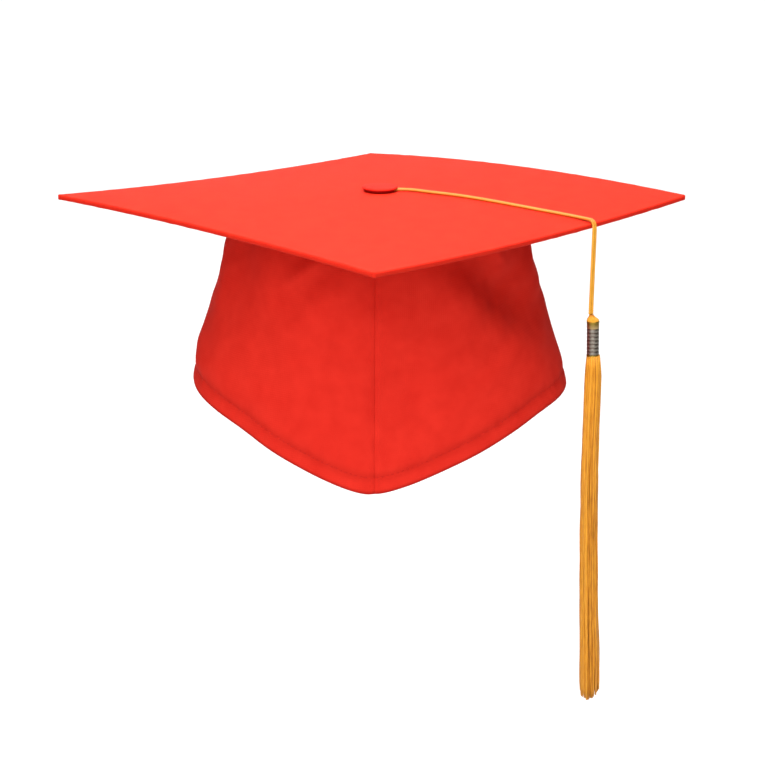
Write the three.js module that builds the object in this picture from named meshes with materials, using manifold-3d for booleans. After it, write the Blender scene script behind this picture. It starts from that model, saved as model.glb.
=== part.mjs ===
// A mortarboard: a cloth-covered square board sewn to a two-panel skull cap, with a covered
// button and a gold tassel whose doubled cord hangs over the front right edge.
// Millimetres, +Z up. The origin is the middle of the board's underside, where it sits on the
// crown of the head. The board's front corner points to -Y and +X is the viewer's right.
import * as THREE from 'three';
import { mergeVertices } from 'three/addons/utils/BufferGeometryUtils.js';
import Module from 'manifold-3d';

const CLEARANCE = 0.3;
const MERGE_TOLERANCE = 1e-4;

// Board: a square turned corner-on, level over the crown of the head and sagging towards its rim.
const BOARD_SIDE = 241;
const BOARD_THICKNESS = 2.8;
const BOARD_CORNER_RADIUS = 1.8;
const BOARD_CELLS = 16;
// Half the side of the flat middle of the underside, which sits on the crown of the head.
const SEAT_HALF_SIDE = 15;
const RIM_STEPS = 3;
// How far the rim lies above the level middle, at its corners and the middles of its sides. Across runs
// to the back right and along to the back left, each from -1 to 1.
const BOARD_RIM = {
  frontCorner: { across: -1, along: -1, rise: -3 },
  frontRightSide: { across: 0, along: -1, rise: -5.5 },
  rightCorner: { across: 1, along: -1, rise: -2 },
  backRightSide: { across: 1, along: 0, rise: -1.5 },
  backCorner: { across: 1, along: 1, rise: -9 },
  backLeftSide: { across: 0, along: 1, rise: -7.5 },
  leftCorner: { across: -1, along: 1, rise: -1 },
  frontLeftSide: { across: -1, along: 0, rise: 0 },
};

// Skull cap: an oval that flares from the board to the hem, which dips to a point front and back.
const CAP_CENTRE_X = 3.3;
const CAP_TOP_DEPTH = 2;
const CAP_TOP_HALF_WIDTH = 76.5;
const CAP_TOP_HALF_DEPTH = 70;
const CAP_SIDE_FLARE = 0.26;
const CAP_FRONT_FLARE = 0.175;
const CAP_BELLY = 1.5;
const CAP_BELLY_DROOP = 3;
const CAP_WALL = 1.6;
const HEM_FRONT_DEPTH = 137;
const HEM_SIDE_RISE = 38;
const HEM_POINT_SOFTNESS = 0.08;
const HEM_POINT_ANGLE = -3;
const HEM_TILT = 1.5;
const FRONT_SEAM_ANGLE = -1.6;
const BACK_SEAM_ANGLE = 180;
const SEAM_HALF_GAP_ANGLE = 0.12;
const SEAM_DIP = 0.3;
const SEAM_DIP_ANGLE = 1.3;
const PANEL_COLUMNS = 40;
const WALL_ROWS = 9;
// Columns beside each seam, in degrees from the panel's own edge.
const SEAM_COLUMNS = [0, 0.7, 1.6];
// Turned hem: height above the edge, and how far the outer and inner faces stand out from the wall's.
const HEM_ROWS = [
  { up: 8.9, outer: -0.4, inner: 0 },
  { up: 7.4, outer: -0.2, inner: -0.3 },
  { up: 4, outer: 0, inner: -0.4 },
  { up: 0.8, outer: -0.4, inner: -0.2 },
  { up: 0, outer: -0.7, inner: 0.3 },
];
// Folds and hollows: angle at the top, turn on the way down, half width in degrees, how far the cloth
// stands out, and the middle and half height of the fold as shares of the wall's height.
const FOLDS = [
  { angle: 8, turn: 65, spread: 11, out: 5, middle: 0.3, reach: 0.25 }, // long ridge, front right
  { angle: 27, turn: 65, spread: 19, out: -12, middle: 0.4, reach: 0.27 }, // deep hollow beyond it
  { angle: 38, turn: 65, spread: 5, out: 3, middle: 0.2, reach: 0.1 }, // pleat in the hollow
  { angle: 72, turn: 0, spread: 14, out: -5, middle: 0.1, reach: 0.2 }, // hollow under the board, right
  { angle: 80, turn: 0, spread: 14, out: 2.5, middle: 1, reach: 0.25 }, // flare of the hem, right
  { angle: 80, turn: 0, spread: 14, out: -1.5, middle: 0.85, reach: 0.1 }, // hollow above the hem, right
  { angle: -76, turn: 0, spread: 16, out: 3, middle: 0.9, reach: 0.12 }, // swell above the hem, left
  { angle: -12, turn: -70, spread: 4, out: 3, middle: 0.2, reach: 0.1 }, // crease under the board, left
  { angle: 0, turn: -60, spread: 7, out: 3, middle: 0.35, reach: 0.15 }, // softer crease below it
  { angle: -62, turn: 0, spread: 13, out: -4, middle: 0.3, reach: 0.25 }, // hollow, left side
  { angle: 8, turn: 0, spread: 7, out: -3, middle: 0.6, reach: 0.1 }, // dent beside the seam
  { angle: 40, turn: 0, spread: 28, out: -2.5, middle: 1, reach: 0.4 }, // flat of the right panel
  { angle: -42, turn: 0, spread: 28, out: -4, middle: 1, reach: 0.4 }, // flat of the left panel
  { angle: 118, turn: -5, spread: 10, out: -2, middle: 0, reach: 0.3 }, // hollow, back right
  { angle: 150, turn: 5, spread: 8, out: 2, middle: 0, reach: 0.3 }, // ridge, back right
  { angle: -122, turn: 5, spread: 10, out: -2, middle: 0, reach: 0.3 }, // hollow, back left
  { angle: -152, turn: -5, spread: 8, out: 2, middle: 0, reach: 0.3 }, // ridge, back left
];

// Button: a cloth-covered cap on a hidden shank. Its soft edge hangs nearly to the board and arches over
// the cord where the loop comes out to the right.
const BUTTON_X = 4.2;
const BUTTON_Y = 2;
const BUTTON_STAND = 1.9;
const BUTTON_SIDES = 28;
const BUTTON_ARCH_ANGLE = 6;
const BUTTON_ARCH_FLAT_ANGLE = 18;
const BUTTON_ARCH_END_ANGLE = 36;
// Button's section from under its middle, round its edge, to the top. Heights are above the shank.
const BUTTON_SECTION = [
  { radius: 0, height: 0 },
  { radius: 6.8, height: 0 },
  { radius: 7.2, height: -1.6 },
  { radius: 8, height: -1.6 },
  { radius: 9.1, height: -0.6 },
  { radius: 9.7, height: 0.3 },
  { radius: 9.4, height: 0.7 },
  { radius: 8.4, height: 1 },
  { radius: 5, height: 1.2 },
  { radius: 0, height: 1.3 },
];
const SHANK_RADIUS = 1.2;
const SHANK_SIDES = 16;

// Cord: one 1.3 mm cord doubled into a loop round the button's shank, both ends in the tassel's head.
const CORD_DIAMETER = 1.3;
const CORD_SIDES = 8;
const CORD_STEPS = 80;
const CORD_ROUTE = [
  [112.4, -58.9, -50],
  [112.5, -59.2, -35],
  [112.7, -59.8, -8],
  [112.7, -59.7, -4],
  [112.2, -59.1, -1.7],
  [111, -57.7, -0.6],
  [109, -55.4, -0.5],
  [105.5, -51.8, -0.4],
  [98, -46.6, 0.1],
  [86, -39.3, 1],
  [74, -31.4, 1.8],
  [60, -21.9, 2.6],
  [45, -12.4, 3.2],
  [30, -4.9, 3.6],
  [20, 0.8, 3.7],
  [12, 1, 3.7],
  [7.5, -0.5, 3.7],
  [4.2, -1.1, 3.7],
  [2, -0.2, 3.7],
  [1.1, 2, 3.7],
  [2, 4.2, 3.7],
  [4.2, 5.1, 3.7],
  [7.5, 4.9, 3.7],
  [12, 3.8, 3.7],
  [20.6, 2.3, 3.7],
  [30.6, -3.4, 3.6],
  [45.7, -10.9, 3.2],
  [60.8, -20.5, 2.6],
  [74.8, -30, 1.8],
  [86.9, -38, 1],
  [99, -45.4, 0.1],
  [106.6, -50.8, -0.4],
  [110.1, -54.4, -0.5],
  [112.1, -56.7, -0.6],
  [113.3, -58.1, -1.7],
  [113.8, -58.7, -4],
  [113.9, -58.6, -8],
  [113.7, -58.4, -35],
  [113.7, -58.3, -50],
];

// Tassel: it hangs from the cord's ends, leaning a little outwards. Heights are below its head's top.
const TASSEL_TOP = [114.2, -58.6, -50.4];
const TASSEL_LEAN = 1.6;
const HEAD_TOP_RADIUS = 2;
const HEAD_RADIUS = 3.1;
const HEAD_DEPTH = 3;
const NECK_RADIUS = 2.2;
const BARREL_RADIUS = 3.2;
const BARREL_BORE_RADIUS = 2.5;
const BARREL_TOP = HEAD_DEPTH + CLEARANCE;
const BARREL_LENGTH = 19;
const BARREL_RING_HEIGHT = 0.9;
const BARREL_RING_PROUD = 0.2;
const BARREL_COLLAR_LENGTH = 4;
const BARREL_RIBS = 7;
const BARREL_RIB_DEPTH = 0.3;
const BARREL_GROOVE_SHARE = 0.25;
const BARREL_SIDES = 16;
const FRINGE_TOP = BARREL_TOP + BARREL_LENGTH + CLEARANCE;
const FRINGE_SKIRT_RADIUS = 3.9;
const FRINGE_SKIRT_LENGTH = 20;
const FRINGE_LENGTH = 198;
// The fringe on its way down: drop below the barrel, radius, and how far it sways to the right.
const FRINGE_PROFILE = [
  { drop: 0, radius: 3.9, sway: 0.3 },
  { drop: 12, radius: 4.6, sway: 0.3 },
  { drop: 60, radius: 4.7, sway: -1.3 },
  { drop: 110, radius: 5, sway: -1.3 },
  { drop: 178, radius: 5.8, sway: -0.6 },
  { drop: 200, radius: 5.6, sway: -0.4 },
];
const LOCK_RADIUS = 1.9;
const LOCK_SIDES = 7;
const LOCK_STEPS = 9;
const LOCK_SWAY = 0.5;
// Locks of thread round the tassel: where each lies, and how much shorter it hangs than the longest.
const LOCKS = [
  { angle: 0, shorter: 5 },
  { angle: 42, shorter: 5 },
  { angle: 80, shorter: 3.5 },
  { angle: 122, shorter: 3 },
  { angle: 160, shorter: 2 },
  { angle: 200, shorter: 1.5 },
  { angle: 240, shorter: 0.2 },
  { angle: 282, shorter: 1.2 },
  { angle: 322, shorter: 4.2 },
];

// Finishes: dyed cloth, gold rayon and bright metal.
const BOARD_RED = 0xf04a3c;
const CAP_RED = 0xdc342b;
const BUTTON_RED = 0xe8463a;
const SHANK_RED = 0xb0281f;
const CORD_GOLD = 0xf2ae42;
const THREAD_GOLD = 0xe99a32;
const BARREL_SILVER = 0x9a9184;
const CLOTH_ROUGHNESS = 0.8;
const RAYON_ROUGHNESS = 0.5;
const METAL_ROUGHNESS = 0.3;

const HALF_DIAGONAL = BOARD_SIDE / Math.SQRT2;
const HALF_SIDE = BOARD_SIDE / 2;

const smooth = (from, to, value) => THREE.MathUtils.smoothstep(value, from, to);
const radians = THREE.MathUtils.degToRad;
const mix = THREE.MathUtils.lerp;

const wasm = await Module();
wasm.setup();

// A closed body: shared corners merged and triangles that shrank to a line left out.
function closed(geometry) {
  geometry.deleteAttribute('normal');
  geometry.deleteAttribute('uv');
  const merged = mergeVertices(geometry, MERGE_TOLERANCE);
  const kept = [];
  for (let i = 0; i < merged.index.count; i += 3) {
    const [a, b, c] = [0, 1, 2].map((k) => merged.index.getX(i + k));
    if (a !== b && b !== c && c !== a) kept.push(a, b, c);
  }
  merged.setIndex(kept);
  return merged;
}

// A wall between two grids of points of the same size: the first faces out, the second in.
function wallBetween(outer, inner) {
  const rows = outer.length;
  const columns = outer[0].length;
  const positions = [...outer, ...inner].flat().flatMap((point) => point.toArray());
  const at = (side, row, column) => (side * rows + row) * columns + column;
  const index = [];
  const quad = (a, b, c, d) => index.push(a, b, c, a, c, d);
  for (let row = 0; row < rows - 1; row += 1) {
    for (let column = 0; column < columns - 1; column += 1) {
      quad(at(0, row, column), at(0, row, column + 1), at(0, row + 1, column + 1), at(0, row + 1, column));
      quad(at(1, row, column), at(1, row + 1, column), at(1, row + 1, column + 1), at(1, row, column + 1));
    }
    quad(at(0, row, 0), at(0, row + 1, 0), at(1, row + 1, 0), at(1, row, 0));
    const end = columns - 1;
    quad(at(0, row, end), at(1, row, end), at(1, row + 1, end), at(0, row + 1, end));
  }
  for (let column = 0; column < columns - 1; column += 1) {
    const end = rows - 1;
    quad(at(0, 0, column), at(1, 0, column), at(1, 0, column + 1), at(0, 0, column + 1));
    quad(at(0, end, column), at(0, end, column + 1), at(1, end, column + 1), at(1, end, column));
  }
  const geometry = new THREE.BufferGeometry();
  geometry.setAttribute('position', new THREE.Float32BufferAttribute(positions, 3));
  geometry.setIndex(index);
  return closed(geometry);
}

// A round body turned about Z from [radius, height] pairs, listed from its foot to its top.
function turned(profile, sides) {
  const points = profile.map(([radius, height]) => new THREE.Vector2(radius, height));
  const geometry = new THREE.LatheGeometry(points, sides);
  geometry.rotateX(Math.PI / 2);
  return closed(geometry);
}

function tubeAlong(points, radius, sides, steps) {
  const section = new THREE.Shape();
  for (let i = 0; i < sides; i += 1) {
    const angle = (2 * Math.PI * i) / sides;
    const place = [radius * Math.cos(angle), radius * Math.sin(angle)];
    if (i === 0) section.moveTo(...place);
    else section.lineTo(...place);
  }
  const extrudePath = new THREE.CatmullRomCurve3(points);
  return closed(new THREE.ExtrudeGeometry(section, { steps, bevelEnabled: false, extrudePath }));
}

function toManifold(geometry) {
  const vertProperties = new Float32Array(geometry.attributes.position.array);
  const triVerts = new Uint32Array(geometry.index.array);
  return new wasm.Manifold(new wasm.Mesh({ numProp: 3, vertProperties, triVerts }));
}

function fused(geometries) {
  const solid = geometries.map(toManifold).reduce((whole, piece) => whole.add(piece));
  const mesh = solid.getMesh();
  const geometry = new THREE.BufferGeometry();
  geometry.setAttribute('position', new THREE.BufferAttribute(mesh.vertProperties, 3));
  geometry.setIndex(new THREE.BufferAttribute(mesh.triVerts, 1));
  return geometry;
}

// Height of the board's underside above its level middle: a smooth sheet through the rim's heights.
function undersideHeight(x, y) {
  const across = (x + y) / HALF_DIAGONAL;
  const along = (y - x) / HALF_DIAGONAL;
  const share = (value, place) => (place === 0 ? 1 - value ** 2 : (value * (value + place)) / 2);
  return Object.values(BOARD_RIM).reduce((sum, rim) => (
    sum + rim.rise * share(across, rim.across) * share(along, rim.along)
  ), 0);
}

// Board: grid lines across the square, closer at the rim, where the cloth wraps a rounded edge.
function boardGeometry() {
  const rimRadius = BOARD_THICKNESS / 2;
  const insets = Array.from({ length: RIM_STEPS }, (_, i) => (
    rimRadius * (1 - Math.cos((i * Math.PI) / (2 * RIM_STEPS)))
  ));
  const inner = HALF_SIDE - rimRadius;
  const lines = [
    ...insets.map((inset) => inset - HALF_SIDE),
    ...Array.from({ length: BOARD_CELLS + 1 }, (_, i) => inner * ((2 * i) / BOARD_CELLS - 1)),
    ...insets.map((inset) => HALF_SIDE - inset).reverse(),
  ];
  const place = (across, along, side) => {
    const inset = Math.min(HALF_SIDE - Math.abs(across), HALF_SIDE - Math.abs(along), rimRadius);
    const halfThickness = Math.sqrt(rimRadius ** 2 - (rimRadius - inset) ** 2);
    const square = HALF_SIDE - BOARD_CORNER_RADIUS;
    const over = [Math.max(Math.abs(across) - square, 0), Math.max(Math.abs(along) - square, 0)];
    const reach = Math.hypot(...over);
    const pull = reach > 0 ? Math.max(...over) / reach : 1;
    const rounded = [across, along].map((value, i) => (
      over[i] > 0 ? Math.sign(value) * (square + over[i] * pull) : value
    ));
    const x = (rounded[0] - rounded[1]) / Math.SQRT2;
    const y = (rounded[0] + rounded[1]) / Math.SQRT2;
    const onSeat = side < 0 && Math.max(Math.abs(across), Math.abs(along)) < SEAT_HALF_SIDE;
    const height = onSeat ? 0 : undersideHeight(x, y) + rimRadius + side * halfThickness;
    return new THREE.Vector3(x, y, height);
  };
  const grid = (side) => lines.map((along) => lines.map((across) => place(across, along, side)));
  return wallBetween(grid(1), grid(-1));
}

function foldOffset(angle, share) {
  return FOLDS.reduce((sum, fold) => {
    const away = (angle - fold.angle - fold.turn * share) / fold.spread;
    const below = (share - fold.middle) / fold.reach;
    return sum + fold.out * Math.exp(-(away ** 2) - below ** 2);
  }, 0);
}

function hemDepth(angle) {
  const aside = Math.sin(radians(angle - HEM_POINT_ANGLE));
  const rise = HEM_SIDE_RISE * (Math.hypot(aside, HEM_POINT_SOFTNESS) - HEM_POINT_SOFTNESS);
  return HEM_FRONT_DEPTH - rise + HEM_TILT * aside;
}

// A point on the cap's wall. Angles run from the front to the viewer's right; out is from the plain oval.
function wallPoint(angle, depth, out) {
  const turn = radians(angle);
  const halfWidth = CAP_TOP_HALF_WIDTH + CAP_SIDE_FLARE * depth;
  const halfDepth = CAP_TOP_HALF_DEPTH + CAP_FRONT_FLARE * depth;
  const normal = new THREE.Vector2(Math.sin(turn) / halfWidth, -Math.cos(turn) / halfDepth).normalize();
  const x = CAP_CENTRE_X + halfWidth * Math.sin(turn) + normal.x * out;
  const y = -halfDepth * Math.cos(turn) + normal.y * out;
  return new THREE.Vector3(x, y, -depth);
}

// One cap panel: a cloth wall from seam to seam, from the board's underside down to its turned hem.
function panelGeometry(fromAngle, toAngle) {
  const angles = [
    ...SEAM_COLUMNS.map((step) => fromAngle + step),
    ...Array.from({ length: PANEL_COLUMNS - 1 }, (_, i) => mix(fromAngle, toAngle, (i + 1) / PANEL_COLUMNS)),
    ...SEAM_COLUMNS.map((step) => toAngle - step).reverse(),
  ];
  const seamDip = (angle) => {
    const fromEdge = Math.min(angle - fromAngle, toAngle - angle);
    return -SEAM_DIP * Math.exp(-((fromEdge / SEAM_DIP_ANGLE) ** 2));
  };
  const topPoint = (angle, out) => {
    const point = wallPoint(angle, CAP_TOP_DEPTH, out);
    point.z = undersideHeight(point.x, point.y) - CLEARANCE;
    return point;
  };
  const grid = (side) => {
    const wall = side === 'outer' ? 0 : -CAP_WALL;
    const belly = (share) => CAP_BELLY * Math.sin(Math.PI * share ** CAP_BELLY_DROOP);
    const outAt = (angle, share) => foldOffset(angle, share) + belly(share) + seamDip(angle) + wall;
    const rows = [angles.map((angle) => topPoint(angle, outAt(angle, 0)))];
    for (let row = 1; row < WALL_ROWS; row += 1) {
      const share = row / WALL_ROWS;
      rows.push(angles.map((angle) => {
        const top = -topPoint(angle, outAt(angle, 0)).z;
        const depth = mix(top, hemDepth(angle) - HEM_ROWS[0].up, share);
        return wallPoint(angle, depth, outAt(angle, share));
      }));
    }
    HEM_ROWS.forEach((hem) => {
      rows.push(angles.map((angle) => (
        wallPoint(angle, hemDepth(angle) - hem.up, outAt(angle, 1) + hem[side])
      )));
    });
    return rows.reverse();
  };
  return wallBetween(grid('outer'), grid('inner'));
}

// Button: turned from its section, then the hanging edge is lifted into an arch over the cord.
function buttonGeometry() {
  const geometry = turned(BUTTON_SECTION.map(({ radius, height }) => [radius, height]), BUTTON_SIDES);
  const places = geometry.attributes.position;
  for (let i = 0; i < places.count; i += 1) {
    const angle = THREE.MathUtils.radToDeg(Math.atan2(places.getY(i), places.getX(i)));
    const aside = Math.abs(angle - BUTTON_ARCH_ANGLE);
    const hangs = smooth(BUTTON_ARCH_FLAT_ANGLE, BUTTON_ARCH_END_ANGLE, aside);
    const height = places.getZ(i);
    if (height < 0) places.setZ(i, height * hangs);
  }
  return geometry;
}

function shankGeometry() {
  const length = BUTTON_STAND - 2 * CLEARANCE;
  return turned([[0, 0], [SHANK_RADIUS, 0], [SHANK_RADIUS, length], [0, length]], SHANK_SIDES);
}

function cordGeometry() {
  const points = CORD_ROUTE.map((place) => new THREE.Vector3(...place));
  return tubeAlong(points, CORD_DIAMETER / 2, CORD_SIDES, CORD_STEPS);
}

// Barrel: a sleeve with a thin ring at each end, a plain collar and pressed ribs below it.
function barrelGeometry() {
  const top = -BARREL_TOP;
  const foot = top - BARREL_LENGTH;
  const ringRadius = BARREL_RADIUS + BARREL_RING_PROUD;
  const ribsTop = top - BARREL_COLLAR_LENGTH;
  const ribsFoot = foot + BARREL_RING_HEIGHT;
  const ribPitch = (ribsTop - ribsFoot) / BARREL_RIBS;
  const profile = [[BARREL_BORE_RADIUS, foot], [ringRadius, foot], [ringRadius, ribsFoot]];
  const grooveRadius = BARREL_RADIUS - BARREL_RIB_DEPTH;
  const halfRib = (ribPitch * (1 - BARREL_GROOVE_SHARE)) / 2;
  for (let rib = 0; rib < BARREL_RIBS; rib += 1) {
    const crest = ribsFoot + (rib + 0.5) * ribPitch;
    profile.push([grooveRadius, crest - halfRib], [BARREL_RADIUS, crest], [grooveRadius, crest + halfRib]);
  }
  profile.push([BARREL_RADIUS, ribsTop], [BARREL_RADIUS, top - BARREL_RING_HEIGHT]);
  profile.push([ringRadius, top - BARREL_RING_HEIGHT / 2], [BARREL_RADIUS, top]);
  profile.push([BARREL_BORE_RADIUS, top], [BARREL_BORE_RADIUS, foot]);
  return turned(profile, BARREL_SIDES);
}

// The fringe's radius and sway at a drop below the barrel, between the rows of its profile.
function fringeAt(drop) {
  const next = FRINGE_PROFILE.findIndex((row, i) => i > 0 && row.drop >= drop);
  const below = FRINGE_PROFILE[next];
  const above = FRINGE_PROFILE[next - 1];
  const share = (drop - above.drop) / (below.drop - above.drop);
  return { radius: mix(above.radius, below.radius, share), sway: mix(above.sway, below.sway, share) };
}

// Fringe: a cone head, a neck inside the barrel and locks of thread fused to a short skirt below it.
function fringeGeometry() {
  const skirtFoot = -FRINGE_TOP - FRINGE_SKIRT_LENGTH;
  const neck = turned([
    [0, skirtFoot],
    [FRINGE_SKIRT_RADIUS, skirtFoot],
    [FRINGE_SKIRT_RADIUS, -FRINGE_TOP - CLEARANCE],
    [BARREL_RADIUS, -FRINGE_TOP],
    [NECK_RADIUS, -FRINGE_TOP],
    [NECK_RADIUS, -HEAD_DEPTH],
    [HEAD_RADIUS, -HEAD_DEPTH],
    [HEAD_TOP_RADIUS, 0],
    [0, 0],
  ], BARREL_SIDES);
  const locks = LOCKS.map(({ angle, shorter }, i) => {
    const length = FRINGE_LENGTH - shorter;
    const points = [];
    for (let step = 0; step <= LOCK_STEPS; step += 1) {
      const drop = (length * step) / LOCK_STEPS;
      const { radius, sway } = fringeAt(drop);
      const reach = radius - LOCK_RADIUS;
      const turn = radians(angle) + (LOCK_SWAY / radius) * Math.sin((step * Math.PI) / LOCK_STEPS + i);
      const height = -FRINGE_TOP - CLEARANCE - drop;
      points.push(new THREE.Vector3(reach * Math.cos(turn) + sway, reach * Math.sin(turn), height));
    }
    return tubeAlong(points, LOCK_RADIUS, LOCK_SIDES, LOCK_STEPS);
  });
  return fused([neck, ...locks]);
}

function piece(name, geometry, colour, roughness, metalness = 0) {
  const material = new THREE.MeshStandardMaterial({ color: colour, roughness, metalness });
  const mesh = new THREE.Mesh(geometry, material);
  mesh.name = name;
  return mesh;
}

const mortarboard = new THREE.Group();
mortarboard.add(piece('board', boardGeometry(), BOARD_RED, CLOTH_ROUGHNESS));

const leftPanel = panelGeometry(
  BACK_SEAM_ANGLE - 360 + SEAM_HALF_GAP_ANGLE,
  FRONT_SEAM_ANGLE - SEAM_HALF_GAP_ANGLE,
);
mortarboard.add(piece('cap_panel_left', leftPanel, CAP_RED, CLOTH_ROUGHNESS));
const rightPanel = panelGeometry(
  FRONT_SEAM_ANGLE + SEAM_HALF_GAP_ANGLE,
  BACK_SEAM_ANGLE - SEAM_HALF_GAP_ANGLE,
);
mortarboard.add(piece('cap_panel_right', rightPanel, CAP_RED, CLOTH_ROUGHNESS));

const buttonSeat = new THREE.Group();
buttonSeat.position.set(BUTTON_X, BUTTON_Y, BOARD_THICKNESS);
const shank = piece('button_shank', shankGeometry(), SHANK_RED, CLOTH_ROUGHNESS);
shank.position.z = CLEARANCE;
const button = piece('button', buttonGeometry(), BUTTON_RED, CLOTH_ROUGHNESS);
button.position.z = BUTTON_STAND;
buttonSeat.add(shank, button);
mortarboard.add(buttonSeat);

mortarboard.add(piece('tassel_cord', cordGeometry(), CORD_GOLD, RAYON_ROUGHNESS));

const tassel = new THREE.Group();
tassel.position.set(...TASSEL_TOP);
tassel.rotation.y = -radians(TASSEL_LEAN);
tassel.add(piece('tassel_barrel', barrelGeometry(), BARREL_SILVER, METAL_ROUGHNESS, 1));
tassel.add(piece('tassel_fringe', fringeGeometry(), THREAD_GOLD, RAYON_ROUGHNESS));
mortarboard.add(tassel);

export default mortarboard;
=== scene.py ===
import math

import bpy
import numpy as np
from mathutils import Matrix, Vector


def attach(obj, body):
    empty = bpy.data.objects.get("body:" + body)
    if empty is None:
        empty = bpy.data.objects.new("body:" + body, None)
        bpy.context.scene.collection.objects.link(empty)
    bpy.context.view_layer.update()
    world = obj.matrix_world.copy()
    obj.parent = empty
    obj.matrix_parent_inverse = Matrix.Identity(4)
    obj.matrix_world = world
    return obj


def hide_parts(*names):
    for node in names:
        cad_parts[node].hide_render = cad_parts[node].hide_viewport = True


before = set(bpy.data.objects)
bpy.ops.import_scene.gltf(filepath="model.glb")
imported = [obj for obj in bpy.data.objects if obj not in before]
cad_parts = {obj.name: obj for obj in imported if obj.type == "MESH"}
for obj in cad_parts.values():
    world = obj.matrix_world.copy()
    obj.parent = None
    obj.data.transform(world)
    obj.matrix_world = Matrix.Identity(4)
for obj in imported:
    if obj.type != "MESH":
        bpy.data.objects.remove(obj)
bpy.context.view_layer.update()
bpy.ops.object.select_all(action="DESELECT")


# Camera: a long lens about a metre in front of the board's front corner and a little above it,
# looking down so that the top of the board shows as a flat diamond.
CAMERA_PLACE = (-0.0051, -0.9598, 0.1943)
CAMERA_TILT_DOWN = 17.33
CAMERA_TURN_RIGHT = 0.635
CAMERA_LENS_MM = 84.7
CAMERA_SENSOR_MM = 36

bpy.ops.object.camera_add(
    location=CAMERA_PLACE,
    rotation=(math.radians(90 - CAMERA_TILT_DOWN), 0, -math.radians(CAMERA_TURN_RIGHT)),
)
camera = bpy.context.object
camera.data.lens = CAMERA_LENS_MM
camera.data.sensor_width = CAMERA_SENSOR_MM
bpy.context.scene.camera = camera
bpy.context.scene.view_settings.view_transform = "Standard"


# Tassel cord: one gold rayon cord, laid up from three twisted strands and doubled into a loop
# round the button's shank. Both its ends run over the board's edge and down into the tassel's head.
CORD_DIAMETER = 0.0013
CORD_STRANDS = 3
CORD_TWIST_LENGTH = 0.0036
CORD_RING_SPACING = 0.0004
CORD_SIDES = 18
CORD_CREST_SHARE = 1.12
CORD_GROOVE_SHARE = 0.24
CORD_FIBRE_SPACING = 0.0025
# Painted light: below this height and over this drop, where the cord hangs clear of the board's edge, it is
# drawn a paler gold.
CORD_RIM_HEIGHT = -0.001
CORD_RIM_TURN = 0.003
# Up from the tassel's head, over the board's edge, round the shank and back beside itself.
CORD_ROUTE = [
    (0.1124, -0.0589, -0.0500),
    (0.1125, -0.0592, -0.0350),
    (0.1127, -0.0598, -0.0080),
    (0.1127, -0.0597, -0.0040),
    (0.1122, -0.0591, -0.0017),
    (0.1110, -0.0577, -0.0006),
    (0.1090, -0.0554, -0.0005),
    (0.1055, -0.0518, -0.0004),
    (0.0980, -0.0466, 0.0001),
    (0.0860, -0.0393, 0.0010),
    (0.0740, -0.0314, 0.0018),
    (0.0600, -0.0219, 0.0026),
    (0.0450, -0.0124, 0.0032),
    (0.0300, -0.0049, 0.0036),
    (0.0200, 0.0008, 0.0037),
    (0.0120, 0.0010, 0.0037),
    (0.0075, -0.0005, 0.0037),
    (0.0042, -0.0011, 0.0037),
    (0.0020, -0.0002, 0.0037),
    (0.0011, 0.0020, 0.0037),
    (0.0020, 0.0042, 0.0037),
    (0.0042, 0.0051, 0.0037),
    (0.0075, 0.0049, 0.0037),
    (0.0120, 0.0038, 0.0037),
    (0.0206, 0.0023, 0.0037),
    (0.0306, -0.0034, 0.0036),
    (0.0457, -0.0109, 0.0032),
    (0.0608, -0.0205, 0.0026),
    (0.0748, -0.0300, 0.0018),
    (0.0869, -0.0380, 0.0010),
    (0.0990, -0.0454, 0.0001),
    (0.1066, -0.0508, -0.0004),
    (0.1101, -0.0544, -0.0005),
    (0.1121, -0.0567, -0.0006),
    (0.1133, -0.0581, -0.0017),
    (0.1138, -0.0587, -0.0040),
    (0.1139, -0.0586, -0.0080),
    (0.1137, -0.0584, -0.0350),
    (0.1137, -0.0583, -0.0500),
]


def smooth_line(points, spacing, steps=20):
    """Evenly spaced points on the smooth curve through the given points."""
    through = np.array(points, float)
    through = np.vstack([2 * through[0] - through[1], through, 2 * through[-1] - through[-2]])
    spans = []
    for a, b, c, d in zip(through, through[1:], through[2:], through[3:]):
        knots = np.cumsum([math.sqrt(np.linalg.norm(q - p)) for p, q in ((a, b), (b, c), (c, d))])
        t = np.linspace(knots[0], knots[1], steps, endpoint=False)[:, None]

        def between(start, end, low, high):
            return (start * (high - t) + end * (t - low)) / (high - low)

        ab = between(a, b, 0, knots[0])
        bc = between(b, c, knots[0], knots[1])
        cd = between(c, d, knots[1], knots[2])
        abc = between(ab, bc, 0, knots[1])
        bcd = between(bc, cd, knots[0], knots[2])
        spans.append(between(abc, bcd, knots[0], knots[1]))
    curve = np.vstack([*spans, through[-2:-1]])
    run = np.concatenate([[0], np.cumsum(np.linalg.norm(np.diff(curve, axis=0), axis=1))])
    even = np.linspace(0, run[-1], max(round(run[-1] / spacing), 2) + 1)
    return np.column_stack([np.interp(even, run, curve[:, axis]) for axis in range(3)])


def rings_round(line, radius):
    """Rings of points round a line; radius has a row for each point and a column for each side."""
    along = np.gradient(line, axis=0)
    along /= np.linalg.norm(along, axis=1)[:, None]
    aside = np.zeros_like(line)
    carried = np.array((1.0, 0.0, 0.0) if abs(along[0][0]) < 0.8 else (0.0, 1.0, 0.0))
    for i, direction in enumerate(along):
        carried = carried - direction * np.dot(carried, direction)
        carried /= np.linalg.norm(carried)
        aside[i] = carried
    across = np.cross(along, aside)
    angles = np.linspace(0, 2 * math.pi, radius.shape[1], endpoint=False)[None, :, None]
    spokes = np.cos(angles) * aside[:, None] + np.sin(angles) * across[:, None]
    return line[:, None] + radius[:, :, None] * spokes


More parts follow.
